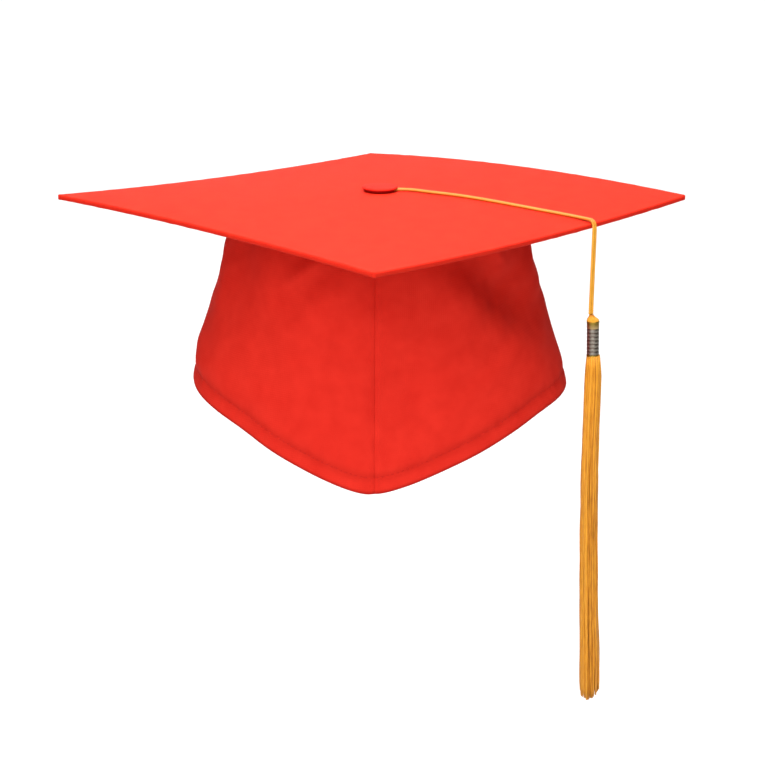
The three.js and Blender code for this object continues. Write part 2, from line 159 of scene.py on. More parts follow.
def mark_points(piece, mark, values):
    """Gives every point of a piece a value that its material reads."""
    layer = piece.data.attributes.new(mark, "FLOAT", "POINT")
    layer.data.foreach_set("value", np.asarray(values, np.float32).ravel())


def tube_object(name, tubes, marks=()):
    """One mesh of closed tubes, each given as rings of points, with any marks for its material."""
    points, faces, first = [], [], 0
    for rings in tubes:
        count, sides = rings.shape[:2]
        ring = first + sides * np.arange(count - 1)[:, None]
        side = np.arange(sides)[None, :]
        beside = (side + 1) % sides
        quads = np.stack(
            [ring + side, ring + beside, ring + sides + beside, ring + sides + side], axis=-1
        )
        faces += quads.reshape(-1, 4).tolist()
        faces.append(list(range(first + sides - 1, first - 1, -1)))
        faces.append(list(range(first + (count - 1) * sides, first + count * sides)))
        points.append(rings.reshape(-1, 3))
        first += count * sides
    mesh = bpy.data.meshes.new(name)
    mesh.from_pydata(np.vstack(points).tolist(), [], faces)
    mesh.shade_smooth()
    made = bpy.data.objects.new(name, mesh)
    bpy.context.collection.objects.link(made)
    for mark, values in dict(marks).items():
        mark_points(made, mark, np.concatenate([tube_values.ravel() for tube_values in values]))
    return made


def linear(hex_colour):
    """An sRGB hex colour as linear red, green, blue and alpha."""
    parts = [int(hex_colour[i : i + 2], 16) / 255 for i in (1, 3, 5)]
    return (*(c / 12.92 if c <= 0.04045 else ((c + 0.055) / 1.055) ** 2.4 for c in parts), 1.0)


def add_node(material, kind, settings=(), links=()):
    """Adds a node, sets its sockets and options, and links its inputs to other nodes' outputs."""
    node = material.node_tree.nodes.new(kind)
    for name, value in dict(settings).items():
        if isinstance(name, int) or name in node.inputs:
            node.inputs[name].default_value = value
        else:
            setattr(node, name, value)
    for name, output in dict(links).items():
        material.node_tree.links.new(output, node.inputs[name])
    return node


def new_material(name):
    """A material with no nodes yet."""
    material = bpy.data.materials.new(name)
    material.use_nodes = True
    material.node_tree.nodes.clear()
    return material


def add_surface(material, settings, links=()):
    """Adds the surface shader and links it to the material's output."""
    shader = add_node(material, "ShaderNodeBsdfPrincipled", settings, links)
    add_node(material, "ShaderNodeOutputMaterial", {}, {"Surface": shader.outputs["BSDF"]})


def read_mark(material, mark):
    """The value that a piece's points carry under a mark."""
    return add_node(material, "ShaderNodeAttribute", {"attribute_name": mark}).outputs["Fac"]


def add_noise(material, spacing, detail, stretch=(1.0, 1.0, 1.0)):
    """Soft random patches all over a piece, about a spacing wide, from 0 to 1."""
    place = add_node(material, "ShaderNodeTexCoord").outputs["Object"]
    drawn = add_node(material, "ShaderNodeMapping", {"Scale": stretch}, {"Vector": place}).outputs["Vector"]
    settings = {"Scale": 1 / spacing, "Detail": detail}
    return add_node(material, "ShaderNodeTexNoise", settings, {"Vector": drawn}).outputs["Fac"]


def add_scaled(material, base, scale, value):
    """A base value plus another one times a scale."""
    settings = {"operation": "MULTIPLY_ADD", 1: scale}
    return add_node(material, "ShaderNodeMath", settings, {0: value, 2: base}).outputs["Value"]


def add_bump(material, strength, height):
    """A surface direction tilted by relief that is too fine to model."""
    settings = {"Strength": strength, "Distance": 0.0001}
    return add_node(material, "ShaderNodeBump", settings, {"Height": height}).outputs["Normal"]


def add_ramp(material, share, stops):
    """A colour by share, from a ramp of (place, hex colour) stops."""
    node = add_node(material, "ShaderNodeValToRGB", {}, {"Fac": share})
    ramp = node.color_ramp
    while len(ramp.elements) < len(stops):
        ramp.elements.new(0.5)
    for element, (place, colour) in zip(ramp.elements, stops):
        element.position = place
        element.color = linear(colour)
    return node.outputs["Color"]


cord_line = smooth_line(CORD_ROUTE, CORD_RING_SPACING)
cord_turn = 2 * math.pi * CORD_RING_SPACING / CORD_TWIST_LENGTH * np.arange(len(cord_line))[:, None]
cord_angle = np.linspace(0, 2 * math.pi, CORD_SIDES, endpoint=False)[None, :]
cord_crest = 0.5 + 0.5 * np.cos(CORD_STRANDS * (cord_angle - cord_turn))
cord_radius = CORD_DIAMETER / 2 * (CORD_CREST_SHARE - CORD_GROOVE_SHARE * (1 - cord_crest))
# Painted light: 1 where the cord hangs clear of the board's edge.
cord_painted_light = np.clip((CORD_RIM_HEIGHT - cord_line[:, 2:]) / CORD_RIM_TURN, 0, 1) + 0 * cord_crest
cord = tube_object(
    "cord_twisted",
    [rings_round(cord_line, cord_radius)],
    {"strand_painted_shade": [cord_crest], "hanging": [cord_painted_light]},
)

# Twisted rayon: bright, slightly silky fibre, painted pale gold on each strand's crest and painted brown
# shade in the grooves between strands, and painted lighter where it hangs free below the board's edge.
twisted_rayon = new_material("twisted_gold_rayon")
fibre = add_noise(twisted_rayon, CORD_FIBRE_SPACING, 3.0)
lay = add_node(
    twisted_rayon, "ShaderNodeMath", {"operation": "MULTIPLY_ADD", 1: 0.5, 2: -0.25}, {0: fibre}
)
# Painted light and shade: each strand's crest is drawn pale gold and the grooves between strands brown.
tone = add_scaled(twisted_rayon, lay.outputs["Value"], 1.0, read_mark(twisted_rayon, "strand_painted_shade"))
gold = add_ramp(twisted_rayon, tone, [(0.0, "#8a4c0a"), (0.45, "#b4681a"), (1.0, "#cc7e2a")])
# Painted light: a paler copy of the gold for the hanging cord.
painted_lit_gold = add_ramp(twisted_rayon, tone, [(0.0, "#a9700f"), (0.45, "#cc8e26"), (1.0, "#e6a83a")])
cord_dye_and_painted_light = add_node(
    twisted_rayon,
    "ShaderNodeMix",
    {"data_type": "RGBA"},
    {0: read_mark(twisted_rayon, "hanging"), 6: gold, 7: painted_lit_gold},
)
add_surface(
    twisted_rayon,
    {"Roughness": 0.5, "Specular IOR Level": 0.25},
    {"Base Color": cord_dye_and_painted_light.outputs[2], "Normal": add_bump(twisted_rayon, 0.3, fibre)},
)
cord.data.materials.append(twisted_rayon)
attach(cord, "root")
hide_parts("tassel_cord")


# Board: a square of stiff card slipped into a cover of two red cloth squares sewn together round
# the edge. The cloth is drawn tight over the card's edge, so the rim is softly rounded all round.
BOARD_SIDE = 0.241
BOARD_THICKNESS = 0.0028
BOARD_CELLS = 48
BOARD_HALF_DIAGONAL = BOARD_SIDE / math.sqrt(2)
# Half the side of the flat middle of the underside, which sits on the crown of the head.
SEAT_HALF_SIDE = 0.015
# Widths of the rings of faces inside the rim, and how near the rim a point counts as on it.
RIM_RINGS = (0.0018, 0.0010, 0.0010)
RIM_NEARNESS = 0.001
RIM_ROUNDING = 0.0019
RIM_ROUNDING_STEPS = 6
# How much of that rounding the rim's top edge, its foot and the upright corners get.
TOP_ROUNDED, FOOT_ROUNDED, CORNER_ROUNDED = 0.45, 0.45, 0.9
RIM_PUCKER = 0.00012
RIM_PUCKER_LENGTHS = (0.011, 0.017, 0.026)
RIM_PUCKER_REACH = 0.007
RIM_PUCKER_TURN = 0.0006
# Painted shade round the rim, a deeper red: how strong, how soon below the top, and where it fades out on
# the underside.
RIM_PAINTED_SHADE = 0.2
RIM_PAINTED_SHADE_DEPTH = 0.0008
RIM_PAINTED_SHADE_FADE = (0.002, 0.006)
RIM_SMOOTH_ANGLE = 50
# How far the rim lies above the level middle, at its corners and the middles of its sides: place
# across to the back right, place along to the back left, each from -1 to 1, and the rise.
BOARD_RIM = {
    "front corner": (-1, -1, -0.0030),
    "front right side": (0, -1, -0.0055),
    "right corner": (1, -1, -0.0020),
    "back right side": (1, 0, -0.0015),
    "back corner": (1, 1, -0.0090),
    "back left side": (0, 1, -0.0075),
    "left corner": (-1, 1, -0.0010),
    "front left side": (-1, 0, 0.0000),
}


def smooth_step(low, high, value):
    """0 below low, 1 above high and an even curve between them."""
    share = np.clip((value - low) / (high - low), 0, 1)
    return share * share * (3 - 2 * share)


def underside_height(x, y):
    """Height of the board's underside above its level middle: a smooth sheet through the rim's heights."""

    def share(value, place):
        return 1 - value**2 if place == 0 else value * (value + place) / 2

    across, along = (x + y) / BOARD_HALF_DIAGONAL, (y - x) / BOARD_HALF_DIAGONAL
    return sum(
        rise * share(across, rim_across) * share(along, rim_along)
        for rim_across, rim_along, rise in BOARD_RIM.values()
    )


def ripple(run, lengths, seed):
    """An uneven wave between about -1 and 1 along a run, from sines of the given lengths."""
    phases = np.random.default_rng(seed).uniform(0, 2 * math.pi, len(lengths))
    waves = [np.sin(2 * math.pi * run / n + phase) for n, phase in zip(lengths, phases)]
    return sum(waves) / len(waves)


def get_points(piece):
    """A piece's points as a table of x, y and z."""
    points = np.empty(3 * len(piece.data.vertices), np.float32)
    piece.data.vertices.foreach_get("co", points)
    return points.reshape(-1, 3).astype(float)


def set_points(piece, points):
    """Moves a piece's points to the given places."""
    piece.data.vertices.foreach_set("co", points.astype(np.float32).ravel())
    piece.data.update()


def apply_modifier(piece, kind, **settings):
    """Adds a modifier to a piece, sets it and applies it."""
    modifier = piece.modifiers.new(kind.lower(), kind)
    for name, value in settings.items():
        setattr(modifier, name, value)
    bpy.context.view_layer.objects.active = piece
    bpy.ops.object.modifier_apply(modifier=modifier.name)


def board_axes(points):
    """Distances from the board's middle to the back right and to the back left, along its sides."""
    x, y = points[:, 0], points[:, 1]
    return (x + y) / math.sqrt(2), (y - x) / math.sqrt(2)


def card_middle(points):
    """Height of the middle of the card's thickness at the given points."""
    return underside_height(points[:, 0], points[:, 1]) + BOARD_THICKNESS / 2


bpy.ops.object.select_all(action="DESELECT")
bpy.ops.mesh.primitive_grid_add(
    x_subdivisions=BOARD_CELLS,
    y_subdivisions=BOARD_CELLS,
    size=BOARD_SIDE,
    rotation=(0, 0, math.radians(45)),
)
board = bpy.context.object
board.name = "board_covered"
bpy.ops.object.transform_apply(location=True, rotation=True, scale=True)
bpy.ops.object.mode_set(mode="EDIT")
bpy.ops.mesh.select_all(action="SELECT")
for width in RIM_RINGS:
    bpy.ops.mesh.inset(thickness=width, depth=0, use_boundary=True)
bpy.ops.object.mode_set(mode="OBJECT")
board_points = get_points(board)
board_points[:, 2] = card_middle(board_points)
set_points(board, board_points)
apply_modifier(board, "SOLIDIFY", thickness=BOARD_THICKNESS, offset=0)
board_points = get_points(board)
from_middle = np.abs(board_axes(board_points))
on_rim = from_middle.max(axis=0) > BOARD_SIDE / 2 - RIM_NEARNESS
at_corner = from_middle.min(axis=0) > BOARD_SIDE / 2 - RIM_NEARNESS
on_top = board_points[:, 2] > card_middle(board_points)
rounding = board.data.attributes.new("bevel_weight_edge", "FLOAT", "EDGE")
for edge in board.data.edges:
    ends = list(edge.vertices)
    if all(on_rim[ends]):
        upright = on_top[ends[0]] != on_top[ends[1]]
        along_rim = TOP_ROUNDED if all(on_top[ends]) else FOOT_ROUNDED
        rounding.data[edge.index].value = CORNER_ROUNDED * all(at_corner[ends]) if upright else along_rim
apply_modifier(
    board,
    "BEVEL",
    width=RIM_ROUNDING,
    segments=RIM_ROUNDING_STEPS,
    limit_method="WEIGHT",
    use_clamp_overlap=False,
)
board_points = get_points(board)
across_board, along_board = board_axes(board_points)
from_middle = np.abs((across_board, along_board))
from_rim = BOARD_SIDE / 2 - from_middle.max(axis=0)
board_middle = card_middle(board_points)
above_middle = board_points[:, 2] - board_middle
face_side = np.sign(above_middle) * smooth_step(0, RIM_PUCKER_TURN, np.abs(above_middle))
run_along = math.sqrt(2) * np.where(from_middle[0] > from_middle[1], along_board, across_board)
pucker = ripple(run_along, RIM_PUCKER_LENGTHS, 3) * np.exp(-from_rim / RIM_PUCKER_REACH)
board_points[:, 2] += face_side * RIM_PUCKER * pucker
on_seat = (face_side < 0) & (from_middle.max(axis=0) < SEAT_HALF_SIDE)
board_points[on_seat, 2] = 0
set_points(board, board_points)
bpy.ops.object.shade_smooth_by_angle(angle=math.radians(RIM_SMOOTH_ANGLE))

WEAVE_SPACING = 0.0011
NAP_SPACING = 0.009


def add_cloth_map(piece, across, along):
    """Gives a piece a UV map of its cloth: metres across and along the weave at every point."""
    layer = piece.data.uv_layers.get("cloth") or piece.data.uv_layers.new(name="cloth")
    corners = np.empty(len(piece.data.loops), np.int32)
    piece.data.loops.foreach_get("vertex_index", corners)
    layer.data.foreach_set("uv", np.column_stack([across, along])[corners].astype(np.float32).ravel())


def red_poplin(name, bright, deep, gloss):
    """Dyed polyester poplin: a matt plain weave whose threads show as fine crossing ribs, with a
    slight gloss, a cloudy, uneven dye and painted shade, a deeper red, where an edge is folded or
    gathered. The real threads are about 0.3 mm apart, which is too fine to show, so they are drawn at
    WEAVE_SPACING."""
    material = new_material(name)
    cloth = add_node(material, "ShaderNodeUVMap", {"uv_map": "cloth"})
    ribs = []
    for direction in ("X", "Y"):
        wave = add_node(
            material,
            "ShaderNodeTexWave",
            {
                "bands_direction": direction,
                "Scale": math.pi / 10 / WEAVE_SPACING,
                "Distortion": 0.6,
                "Detail": 1.0,
                "Detail Scale": 1.5,
            },
            {"Vector": cloth.outputs["UV"]},
        )
        ribs.append(wave.outputs["Fac"])
    crossing = add_node(material, "ShaderNodeMath", {"operation": "MULTIPLY"}, dict(enumerate(ribs)))
    weave = crossing.outputs["Value"]
    nap = add_noise(material, NAP_SPACING, 3.0)
    red = add_ramp(material, add_scaled(material, nap, 0.35, weave), [(0.25, deep), (0.95, bright)])
    # Painted shade: the red is drawn towards a deep red wherever the piece's points are marked for it.
    red_with_painted_shade = add_node(
        material,
        "ShaderNodeMix",
        {"data_type": "RGBA", 7: linear("#7a0d09")},
        {0: read_mark(material, "painted_shade"), 6: red},
    )
    relief = add_bump(material, 0.3, add_scaled(material, weave, 0.6, nap))
    add_surface(
        material,
        {"Roughness": 0.75, "Specular IOR Level": gloss},
        {"Base Color": red_with_painted_shade.outputs[2], "Normal": relief},
    )
    return material


add_cloth_map(board, across_board, along_board)
# Painted shade: the rim and the board near it are drawn a deeper red, more so further below the top.
below_top = np.maximum(board_middle + BOARD_THICKNESS / 2 - RIM_PUCKER - board_points[:, 2], 0)
rim_painted_shade = RIM_PAINTED_SHADE * (1 - np.exp(-below_top / RIM_PAINTED_SHADE_DEPTH))
mark_points(board, "painted_shade", rim_painted_shade * (1 - smooth_step(*RIM_PAINTED_SHADE_FADE, from_rim)))
board.data.materials.clear()
board.data.materials.append(red_poplin("red_poplin_board", "#cf2918", "#c22114", 0.04))
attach(board, "root")
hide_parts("board")


# Skull cap: two panels of the same red cloth, sewn together at the front and back and to the
# underside of the board. They hang in soft folds below it and end in a turned, stitched hem.
CAP_CENTRE_X = 0.0033
CAP_TOP_DEPTH = 0.002
CAP_TOP_HALF_WIDTH = 0.0765
CAP_TOP_HALF_DEPTH = 0.070
CAP_SIDE_FLARE = 0.26
CAP_FRONT_FLARE = 0.175
CAP_BELLY = 0.0015
CAP_BELLY_DROOP = 3
CAP_WALL = 0.0016
CAP_GAP = 0.0003
HEM_FRONT_DEPTH = 0.1370
HEM_SIDE_RISE = 0.0380
HEM_POINT_SOFTNESS = 0.08
HEM_POINT_ANGLE = -3
HEM_TILT = 0.0015
HEM_STITCH_HEIGHT = 0.0089
HEM_HALF_WIDTH = CAP_TOP_HALF_WIDTH + CAP_SIDE_FLARE * HEM_FRONT_DEPTH
# Half width at which the weave has its own spacing.
CLOTH_HALF_WIDTH = 0.0945
FRONT_SEAM_ANGLE = -1.6
BACK_SEAM_ANGLE = 180
PANEL_COLUMNS = 230
WALL_ROWS = 42
SEAM_DIP = 0.0005
SEAM_DIP_REACH = 0.0016
SEAM_ALLOWANCE_WIDTH = 0.009
SEAM_ALLOWANCE_THICKNESS = 0.0005
SEAM_ALLOWANCE_EDGE = 0.0012
# Columns beside each seam: distance from it, and how far the cloth turns in there.
SEAM_TURN = [(0.0, -0.0024), (0.0, -0.0003), (0.0003, -0.00014), (0.0008, -0.00004)]
# Turned hem, down the outside, round the edge and up the inside: height above the edge, and how
# far the cloth stands out from the wall's outer face.
HEM_OUTSIDE = [
    (0.0130, 0.0), (0.0118, -0.0001), (0.0107, -0.0002), (0.0098, -0.00035), (0.0089, -0.00045),
    (0.0081, -0.00035), (0.0074, -0.0002), (0.0066, -0.0001), (0.0058, 0.0), (0.0042, 0.0),
    (0.0025, -0.0001), (0.0013, -0.0003), (0.0005, -0.0006), (0.00015, -0.0008), (0.0, -0.001),
]
HEM_INSIDE = [
    (0.0, -0.0012), (0.00015, -0.0015), (0.0005, -0.0017), (0.0013, -0.0019), (0.0042, -0.002),
    (0.0073, -0.00195), (0.0089, -0.0018), (0.0099, -0.0019), (0.0105, -0.0018), (0.0107, -0.0016),
    (0.0130, -0.0016),
]
HEM_PUCKER = 0.00022
HEM_PUCKER_LENGTHS = (0.0063, 0.0091, 0.0149)
HEM_PUCKER_REACH = 0.0045
# Painted shade, a deeper red, at the hem's edge and beside its stitches: how strong, and how far it reaches.
HEM_EDGE_PAINTED_SHADE, HEM_EDGE_PAINTED_SHADE_REACH = 0.7, 0.0024
HEM_STITCH_PAINTED_SHADE, HEM_STITCH_PAINTED_SHADE_REACH = 0.22, 0.0028
TOP_GATHER = 0.0004
TOP_GATHER_LENGTHS = (0.013, 0.021, 0.034)
TOP_GATHER_REACH = 0.14
# Shallow waves all over the hanging cloth: how many, the shortest and longest, their height, and the
# share of the wall's height over which they begin below the board.
DRAPE_WAVES = 11
DRAPE_LENGTHS = (0.018, 0.052)
DRAPE = 0.00013
DRAPE_START = 0.15
# Folds and hollows: angle at the top, turn on the way down, half width in degrees, how far the cloth
# stands out, and the middle and half height of the fold as shares of the wall's height.
FOLDS = [
    (8, 65, 11, 0.0050, 0.3, 0.25),  # long ridge, front right
    (27, 65, 19, -0.0120, 0.4, 0.27),  # deep hollow beyond it
    (38, 65, 5, 0.0030, 0.2, 0.1),  # pleat in the hollow
    (72, 0, 14, -0.0050, 0.1, 0.2),  # hollow under the board, right
    (80, 0, 14, 0.0025, 1, 0.25),  # flare of the hem, right
    (80, 0, 14, -0.0015, 0.85, 0.1),  # hollow above the hem, right
    (-76, 0, 16, 0.0030, 0.9, 0.12),  # swell above the hem, left
    (-12, -70, 4, 0.0030, 0.2, 0.1),  # crease under the board, left
    (0, -60, 7, 0.0030, 0.35, 0.15),  # softer crease below it
    (-62, 0, 13, -0.0040, 0.3, 0.25),  # hollow, left side
    (8, 0, 7, -0.0030, 0.6, 0.1),  # dent beside the seam
    (40, 0, 28, -0.0025, 1, 0.4),  # flat of the right panel
    (-42, 0, 28, -0.0040, 1, 0.4),  # flat of the left panel
    (118, -5, 10, -0.0020, 0, 0.3),  # hollow, back right
    (150, 5, 8, 0.0020, 0, 0.3),  # ridge, back right
    (-122, 5, 10, -0.0020, 0, 0.3),  # hollow, back left
    (-152, -5, 8, 0.0020, 0, 0.3),  # ridge, back left
]


def fold_offset(angle, share):
    """How far the folds push the cloth out at an angle and a share of the wall's height."""
    total = np.zeros(np.broadcast(angle, share).shape)
    for start, turn, spread, out, middle, reach in FOLDS:
        away = (angle - start - turn * share) / spread
        total += out * np.exp(-(away**2) - ((share - middle) / reach) ** 2)
    return total


def drape_waves(run, drop):
    """Shallow crossing waves over the cloth, from its run round the cap and its drop from the board."""
    dice = np.random.default_rng(8)
    total = np.zeros(np.broadcast(run, drop).shape)
    for length in np.linspace(*DRAPE_LENGTHS, DRAPE_WAVES):
        lean, phase = dice.uniform(0, math.pi), dice.uniform(0, 2 * math.pi)
        total += np.sin(2 * math.pi * (run * math.cos(lean) + drop * math.sin(lean)) / length + phase)
    return DRAPE * total


def hem_depth(angle):
    """Depth of the hem's edge below the board, which dips to a soft point at each seam."""
    aside = np.sin(np.radians(angle - HEM_POINT_ANGLE))
    rise = HEM_SIDE_RISE * (np.hypot(aside, HEM_POINT_SOFTNESS) - HEM_POINT_SOFTNESS)
    return HEM_FRONT_DEPTH - rise + HEM_TILT * aside


def hem_pucker(angle):
    """How far the stitching puckers the hem in and out along its row."""
    return HEM_PUCKER * ripple(np.radians(angle) * HEM_HALF_WIDTH, HEM_PUCKER_LENGTHS, 11)


def seam_distance(angle, from_angle, to_angle):
    """Distance of an angle from the nearer of its panel's two seams."""
    return np.radians(np.minimum(angle - from_angle, to_angle - angle)) * CAP_TOP_HALF_DEPTH


def wall_points(angle, depth, out):
    """Places on the cap's wall, out from the plain oval at that angle and depth."""
    turn = np.radians(angle)
    half_width = CAP_TOP_HALF_WIDTH + CAP_SIDE_FLARE * depth
    half_depth = CAP_TOP_HALF_DEPTH + CAP_FRONT_FLARE * depth
    normal_x, normal_y = np.sin(turn) / half_width, -np.cos(turn) / half_depth
    size = np.hypot(normal_x, normal_y)
    x = CAP_CENTRE_X + half_width * np.sin(turn) + normal_x / size * out
    y = -half_depth * np.cos(turn) + normal_y / size * out
    return np.stack(np.broadcast_arrays(x, y, -depth), axis=-1)


def wall_out(angle, share, from_seam):
    """How far the hanging cloth stands out from the plain oval."""
    run = np.radians(angle) * CAP_TOP_HALF_WIDTH
    belly = CAP_BELLY * np.sin(math.pi * share**CAP_BELLY_DROOP)
    seam = -SEAM_DIP * np.exp(-((from_seam / SEAM_DIP_REACH) ** 2))
    gathers = TOP_GATHER * ripple(run, TOP_GATHER_LENGTHS, 5) * np.exp(-share / TOP_GATHER_REACH)
    drape = drape_waves(run, HEM_FRONT_DEPTH * share) * smooth_step(0, DRAPE_START, share)
    return fold_offset(angle, share) + belly + seam + gathers + drape


def cap_panel(name, from_angle, to_angle):
    """One panel of the skull cap, from seam to seam, as a closed cloth wall."""
    seam_columns = [np.degrees(distance / CAP_TOP_HALF_DEPTH) for distance, _ in SEAM_TURN]
    inside = np.linspace(from_angle, to_angle, PANEL_COLUMNS)[1:-1]
    angle = np.concatenate([
        from_angle + np.array(seam_columns), inside, to_angle - np.array(seam_columns[::-1]),
    ])[None, :]
    turned = np.array([turn for _, turn in SEAM_TURN])
    turn_in = np.concatenate([turned, np.zeros(len(inside)), turned[::-1]])[None, :]
    from_seam = seam_distance(angle, from_angle, to_angle)
    top = wall_points(angle, CAP_TOP_DEPTH, wall_out(angle, 0.0, from_seam))[0]
    top_depth = (CAP_GAP - underside_height(top[:, 0], top[:, 1]))[None, :]
    edge = hem_depth(angle)

    def wall_rows(shares, wall):
        depth = top_depth + (edge - HEM_OUTSIDE[0][0] - top_depth) * shares[:, None]
        share_to_stitch = (depth - top_depth) / (edge - HEM_STITCH_HEIGHT - top_depth)
        return depth, wall_out(angle, share_to_stitch, from_seam) + wall

    def hem_rows(rows):
        up = np.array([height for height, _ in rows])[:, None]
        out = np.array([stand for _, stand in rows])[:, None]
        near_stitch = np.exp(-(((up - HEM_STITCH_HEIGHT) / HEM_PUCKER_REACH) ** 2))
        share = np.clip((edge - up - top_depth) / (edge - HEM_STITCH_HEIGHT - top_depth), 0, 1)
        lie = wall_out(angle, share, from_seam) + hem_pucker(angle) * near_stitch
        return edge - up, out + lie

    shares = np.linspace(0, 1, WALL_ROWS)[:-1]
    allowance = SEAM_ALLOWANCE_THICKNESS * smooth_step(
        SEAM_ALLOWANCE_WIDTH, SEAM_ALLOWANCE_WIDTH - SEAM_ALLOWANCE_EDGE, from_seam
    )
    down = wall_rows(shares, turn_in)
    hem_down, hem_up = hem_rows(HEM_OUTSIDE), hem_rows(HEM_INSIDE)
    up_inside = wall_rows(shares[::-1], np.minimum(-CAP_WALL - allowance, turn_in))
    depths = np.vstack([down[0], hem_down[0], hem_up[0], up_inside[0]])
    outs = np.vstack([
        down[1], hem_down[1] + turn_in, np.minimum(hem_up[1] - allowance, hem_up[1] + turn_in), up_inside[1],
    ])
    grid = wall_points(angle, depths, outs)
    rows, columns = grid.shape[:2]
    row, column = np.arange(rows)[:, None], np.arange(columns - 1)[None, :]
    below = (row + 1) % rows
    quads = np.stack([
        row * columns + column, below * columns + column,
        below * columns + column + 1, row * columns + column + 1,
    ], axis=-1).reshape(-1, 4)
    ends = [
        (np.arange(rows) * columns).tolist(),
        (np.arange(rows) * columns + columns - 1)[::-1].tolist(),
    ]
    mesh = bpy.data.meshes.new(name)
    mesh.from_pydata(grid.reshape(-1, 3).tolist(), [], quads.tolist() + ends)
    mesh.shade_smooth()
    panel = bpy.data.objects.new(name, mesh)
    bpy.context.collection.objects.link(panel)
    across = np.broadcast_to(np.radians(angle) * CLOTH_HALF_WIDTH, depths.shape)
    add_cloth_map(panel, across.ravel(), -depths.ravel())
    # Painted shade along the hem's edge and along the row of stitches.
    height = edge - depths
    edge_painted_shade = HEM_EDGE_PAINTED_SHADE * (1 - smooth_step(0, HEM_EDGE_PAINTED_SHADE_REACH, height))
    from_stitch = (height - HEM_STITCH_HEIGHT) / HEM_STITCH_PAINTED_SHADE_REACH
    stitch_painted_shade = HEM_STITCH_PAINTED_SHADE * np.exp(-(from_stitch**2))
    mark_points(panel, "painted_shade", edge_painted_shade + stitch_painted_shade)
    return panel


cap_poplin = red_poplin("red_poplin_cap", "#cf2d21", "#c1241a", 0.02)
cap_left = cap_panel("cap_cloth_left", BACK_SEAM_ANGLE - 360, FRONT_SEAM_ANGLE)
cap_right = cap_panel("cap_cloth_right", FRONT_SEAM_ANGLE, BACK_SEAM_ANGLE)
for panel, node in ((cap_left, "cap_panel_left"), (cap_right, "cap_panel_right")):
    panel.data.materials.append(cap_poplin)
    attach(panel, "root")
    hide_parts(node)


# Hem stitching: a row of lockstitch in red sewing thread round each panel, sunk in the groove that
# it pulls into the cloth. The same row shows inside the cap.
STITCH_LENGTH = 0.0027
STITCH_SHARE = 0.8
STITCH_THREAD_RADIUS = 0.00022
STITCH_SIDES = 6
STITCH_OUT = -0.00035
STITCH_IN = -0.00205
STITCH_SINK = 0.00035
# A stitch from end to end: 1 where it lies on the cloth, and lower where it dips into it.
STITCH_BOW = np.array([-1.0, 0.1, 0.75, 1.0, 0.75, 0.1, -1.0])
STITCH_LINE_STEPS = 2000
# How far, in degrees, the row stops short of the seams.
STITCH_END_ANGLE = 0.3
STITCH_PLY_SPACING = 0.0009


def stitch_row(name, from_angle, to_angle):
    """Stitches along both faces of one panel's hem."""
    angles = np.linspace(from_angle + STITCH_END_ANGLE, to_angle - STITCH_END_ANGLE, STITCH_LINE_STEPS)
    line = wall_points(angles, hem_depth(angles) - HEM_STITCH_HEIGHT, 0.0)
    run = np.concatenate([[0], np.cumsum(np.linalg.norm(np.diff(line, axis=0), axis=1))])
    tubes = []
    for start in np.arange(0, run[-1] - STITCH_LENGTH, STITCH_LENGTH):
        steps = start + np.linspace(0, STITCH_SHARE * STITCH_LENGTH, len(STITCH_BOW))
        at = np.interp(steps, run, angles)
        lie = wall_out(at, 1.0, seam_distance(at, from_angle, to_angle)) + hem_pucker(at)
        for face, sign in ((STITCH_OUT, 1), (STITCH_IN, -1)):
            out = face + lie + sign * STITCH_SINK * (STITCH_BOW - 1)
            path = wall_points(at, hem_depth(at) - HEM_STITCH_HEIGHT, out)
            radius = np.full((len(path), STITCH_SIDES), STITCH_THREAD_RADIUS)
            tubes.append(rings_round(path, radius))
    return tube_object(name, tubes)


# Spun polyester sewing thread: a dull, slightly deeper red than the cloth that it sinks into.
sewing_thread = new_material("red_sewing_thread")
ply = add_noise(sewing_thread, STITCH_PLY_SPACING, 2.0)
dyed = add_ramp(sewing_thread, ply, [(0.3, "#a81c14"), (0.7, "#b8221a")])
add_surface(sewing_thread, {"Roughness": 0.9, "Specular IOR Level": 0.1}, {"Base Color": dyed})
stitches_left = stitch_row("hem_stitches_left", BACK_SEAM_ANGLE - 360, FRONT_SEAM_ANGLE)
stitches_right = stitch_row("hem_stitches_right", FRONT_SEAM_ANGLE, BACK_SEAM_ANGLE)
for panel, stitches in ((cap_left, stitches_left), (cap_right, stitches_right)):
    stitches.data.materials.append(sewing_thread)
    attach(stitches, "root")


# Button: a flat button covered with the board's cloth, which is gathered in under its edge. It stands
# on a short shank sewn down through the board, and its soft edge arches over the cord's loop.
BUTTON_X, BUTTON_Y = 0.0042, 0.0020
BUTTON_RADIUS = 0.0097
BUTTON_STAND = 0.0019
BUTTON_SIDES = 72
BUTTON_ARCH_ANGLE = 6
BUTTON_ARCH_FLAT_ANGLE = 18
BUTTON_ARCH_END_ANGLE = 36
# Section from the middle of the underside, round the edge, to the top: radius, and height above the shank.
BUTTON_SECTION = [
    (0.0, 0.0),
    (0.0068, 0.0),
    (0.0072, -0.0016),
    (0.0080, -0.0016),
    (0.0091, -0.0006),
    (0.0097, 0.0003),
    (0.0094, 0.0007),
    (0.0084, 0.0010),
    (0.0050, 0.0012),
    (0.0, 0.0013),
]
BUTTON_SECTION_SPACING = 0.0004
# Gathers under the edge: how many go round in each set, their depth, how far from the edge's height
# they fade out, and the shares of the radius where they begin and are full.
BUTTON_GATHERS = (17, 11, 6)
BUTTON_GATHER_DEPTH = 0.00016
BUTTON_GATHER_FADE = 0.0004
BUTTON_GATHER_SPREAD = (0.2, 0.8)


